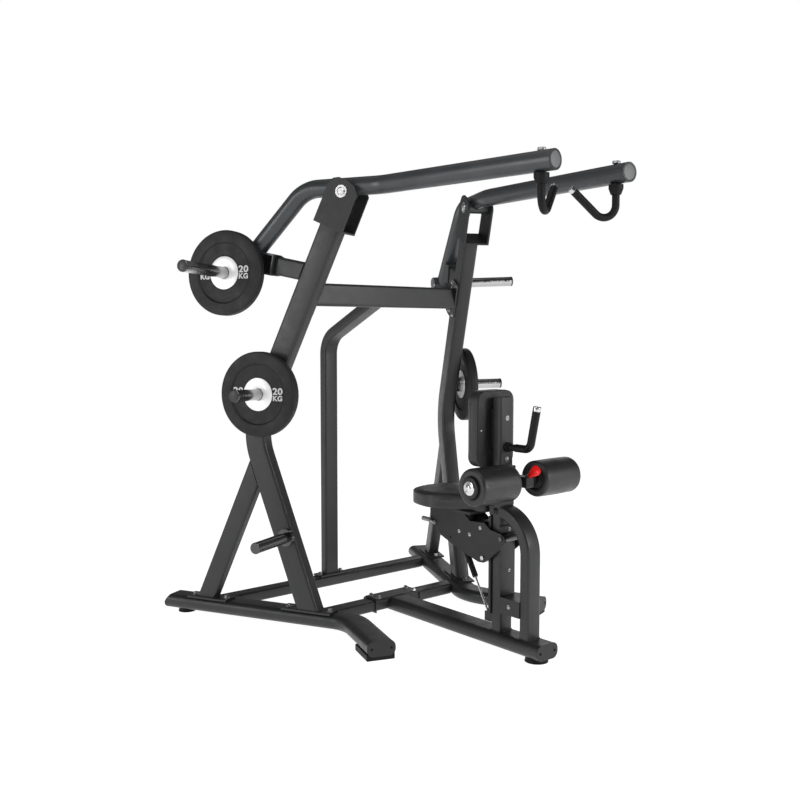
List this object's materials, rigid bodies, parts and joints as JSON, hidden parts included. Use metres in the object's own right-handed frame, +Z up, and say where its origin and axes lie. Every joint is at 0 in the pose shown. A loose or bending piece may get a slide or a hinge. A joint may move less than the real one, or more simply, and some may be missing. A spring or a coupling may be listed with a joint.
{
  "type": "plate-loaded lat pulldown machine",
  "caption": "Gym pulldown machine: splayed side frames carry overhead lever arms with swivel handles and weight plates, facing a sliding seat with thigh rollers and a chest pad.",
  "frame": {"origin": "centre of the footprint's bounding box, on the floor", "axes": "+Z up, the person on the seat faces -Y, +X is that person's left"},
  "size_m": [1.9744, 1.8979, 1.9725],
  "materials": {
    "frame_paint": "satin charcoal powder coat",
    "arm_paint": "satin graphite powder coat",
    "chrome": "polished",
    "zinc_steel": "bright zinc",
    "black_rubber": "matt black",
    "plate_rubber": "moulded, matt black",
    "black_vinyl": "fine-grained upholstery vinyl",
    "red_knob": "glossy",
    "grey_cap": "matt"
  },
  "bodies": {
    "frame": {"right_skid": "frame_paint", "right_skid_cap": "frame_paint", "right_front_foot": "black_rubber", "right_rear_foot": "black_rubber", "left_skid": "frame_paint", "left_skid_cap": "frame_paint", "left_front_foot": "black_rubber", "left_rear_foot": "black_rubber", "rear_cross_tube": "frame_paint", "right_cross_stub": "frame_paint", "left_cross_stub": "frame_paint", "centre_base_tube": "frame_paint", "centre_base_cap": "frame_paint", "centre_foot": "black_rubber", "right_main_post": "frame_paint", "right_rear_leg": "frame_paint", "right_pivot_bracket": "frame_paint", "right_pivot_pin": "zinc_steel", "right_arm_stop": "frame_paint", "right_lower_horn": "chrome", "right_storage_horn": "frame_paint", "left_main_post": "frame_paint", "left_rear_leg": "frame_paint", "left_pivot_bracket": "frame_paint", "left_pivot_pin": "zinc_steel", "left_arm_stop": "frame_paint", "left_lower_horn": "chrome", "left_storage_horn": "frame_paint", "upper_crossbar": "frame_paint", "rear_post": "frame_paint", "seat_upright": "frame_paint", "seat_arch": "frame_paint", "front_guide_rail": "frame_paint", "rear_guide_rail": "frame_paint", "chest_post": "frame_paint", "chest_pad": "black_vinyl", "chest_handle": "black_rubber"},
    "right_arm": {"right_arm": "arm_paint", "right_arm_plug": "grey_cap", "right_arm_horn": "chrome"},
    "left_arm": {"left_arm": "arm_paint", "left_arm_plug": "grey_cap", "left_arm_horn": "chrome"},
    "right_handle": {"right_handle": "black_rubber"},
    "left_handle": {"left_handle": "black_rubber"},
    "right_upper_plate": {"right_upper_plate": "plate_rubber"},
    "left_upper_plate": {"left_upper_plate": "plate_rubber"},
    "right_lower_plate": {"right_lower_plate": "plate_rubber"},
    "left_lower_plate": {"left_lower_plate": "plate_rubber"},
    "roller_bracket": {"roller_bracket": "frame_paint"},
    "pull_pin": {"pull_pin": "red_knob"},
    "right_thigh_roller": {"right_thigh_roller": "black_vinyl"},
    "left_thigh_roller": {"left_thigh_roller": "black_vinyl"},
    "seat_carriage": {"seat_carriage": "frame_paint", "seat_pad": "black_vinyl"},
    "front_guide_roller": {"front_guide_roller": "zinc_steel"},
    "rear_guide_roller": {"rear_guide_roller": "zinc_steel"},
    "seat_release_lever": {"seat_release_lever": "chrome"},
    "gas_spring_cylinder": {"gas_spring_cylinder": "black_rubber"},
    "gas_spring_rod": {"gas_spring_rod": "chrome"}
  },
  "joints": [
    {"name": "right_arm_pivot", "type": "hinge", "parent": "frame", "child": "right_arm", "pos_m": [-0.37891, 0.05142, 1.898], "axis": [0.8949, 0.4462, 0], "range_deg": [0, 50]},
    {"name": "right_handle_swivel", "type": "hinge", "parent": "right_arm", "child": "right_handle", "pos_m": [-0.2144, -0.8815, 1.88], "axis": [0, 0, 1], "continuous": true},
    {"name": "right_upper_plate_slide", "type": "slide", "parent": "right_arm", "child": "right_upper_plate", "axis": [-0.8941, -0.4458, 0.0419], "range_m": [0, 0.34]},
    {"name": "right_lower_plate_slide", "type": "slide", "parent": "frame", "child": "right_lower_plate", "axis": [-0.8948, -0.4461, 0.0175], "range_m": [0, 0.22]},
    {"name": "left_arm_pivot", "type": "hinge", "parent": "frame", "child": "left_arm", "pos_m": [0.37891, 0.05142, 1.898], "axis": [0.8949, -0.4462, 0], "range_deg": [0, 50]},
    {"name": "left_handle_swivel", "type": "hinge", "parent": "left_arm", "child": "left_handle", "pos_m": [0.2144, -0.8815, 1.88], "axis": [0, 0, 1], "continuous": true},
    {"name": "left_upper_plate_slide", "type": "slide", "parent": "left_arm", "child": "left_upper_plate", "axis": [0.8941, -0.4458, 0.0419], "range_m": [0, 0.34]},
    {"name": "left_lower_plate_slide", "type": "slide", "parent": "frame", "child": "left_lower_plate", "axis": [0.8948, -0.4461, 0.0175], "range_m": [0, 0.22]},
    {"name": "roller_height", "type": "slide", "parent": "frame", "child": "roller_bracket", "axis": [0, 0, 1], "range_m": [-0.03, 0.02]},
    {"name": "pull_pin_travel", "type": "slide", "parent": "roller_bracket", "child": "pull_pin", "axis": [0, -0.8, 0.6], "range_m": [0, 0.012], "stiffness_N_per_m": 800, "springref_m": -0.004},
    {"name": "right_thigh_roller_spin", "type": "hinge", "parent": "roller_bracket", "child": "right_thigh_roller", "pos_m": [0, -0.6027, 0.718], "axis": [1, 0, 0], "continuous": true},
    {"name": "left_thigh_roller_spin", "type": "hinge", "parent": "roller_bracket", "child": "left_thigh_roller", "pos_m": [0, -0.6027, 0.718], "axis": [1, 0, 0], "continuous": true},
    {"name": "seat_height", "type": "slide", "parent": "frame", "child": "seat_carriage", "axis": [0, 0, 1], "range_m": [-0.08, 0.05]},
    {"name": "front_guide_roller_spin", "type": "hinge", "parent": "seat_carriage", "child": "front_guide_roller", "pos_m": [0, -0.5438, 0.477], "axis": [1, 0, 0], "range_deg": [-200, 310]},
    {"name": "rear_guide_roller_spin", "type": "hinge", "parent": "seat_carriage", "child": "rear_guide_roller", "pos_m": [0, -0.4401, 0.381], "axis": [1, 0, 0], "range_deg": [-255, 165]},
    {"name": "seat_release", "type": "hinge", "parent": "seat_carriage", "child": "seat_release_lever", "pos_m": [0, -0.1457, 0.486], "axis": [1, 0, 0], "range_deg": [0, 20], "stiffness_Nm_per_rad": 2, "springref_deg": -17.19},
    {"name": "gas_spring_swing", "type": "hinge", "parent": "seat_carriage", "child": "gas_spring_cylinder", "pos_m": [0, -0.2477, 0.438], "axis": [1, 0, 0], "range_deg": [-7.5, 5]},
    {"name": "gas_spring_stroke", "type": "slide", "parent": "gas_spring_cylinder", "child": "gas_spring_rod", "axis": [0, -0.4943, -0.8693], "range_m": [-0.07, 0.045]}
  ],
  "couplings": [
    {"joint": "front_guide_roller_spin", "follows": "seat_height", "rad_per_m": -64.516},
    {"joint": "rear_guide_roller_spin", "follows": "seat_height", "rad_per_m": 52.632},
    {"joint": "gas_spring_swing", "follows": "seat_height", "rad_per_m": 1.48},
    {"joint": "gas_spring_stroke", "follows": "seat_height", "ratio": 0.855}
  ]
}
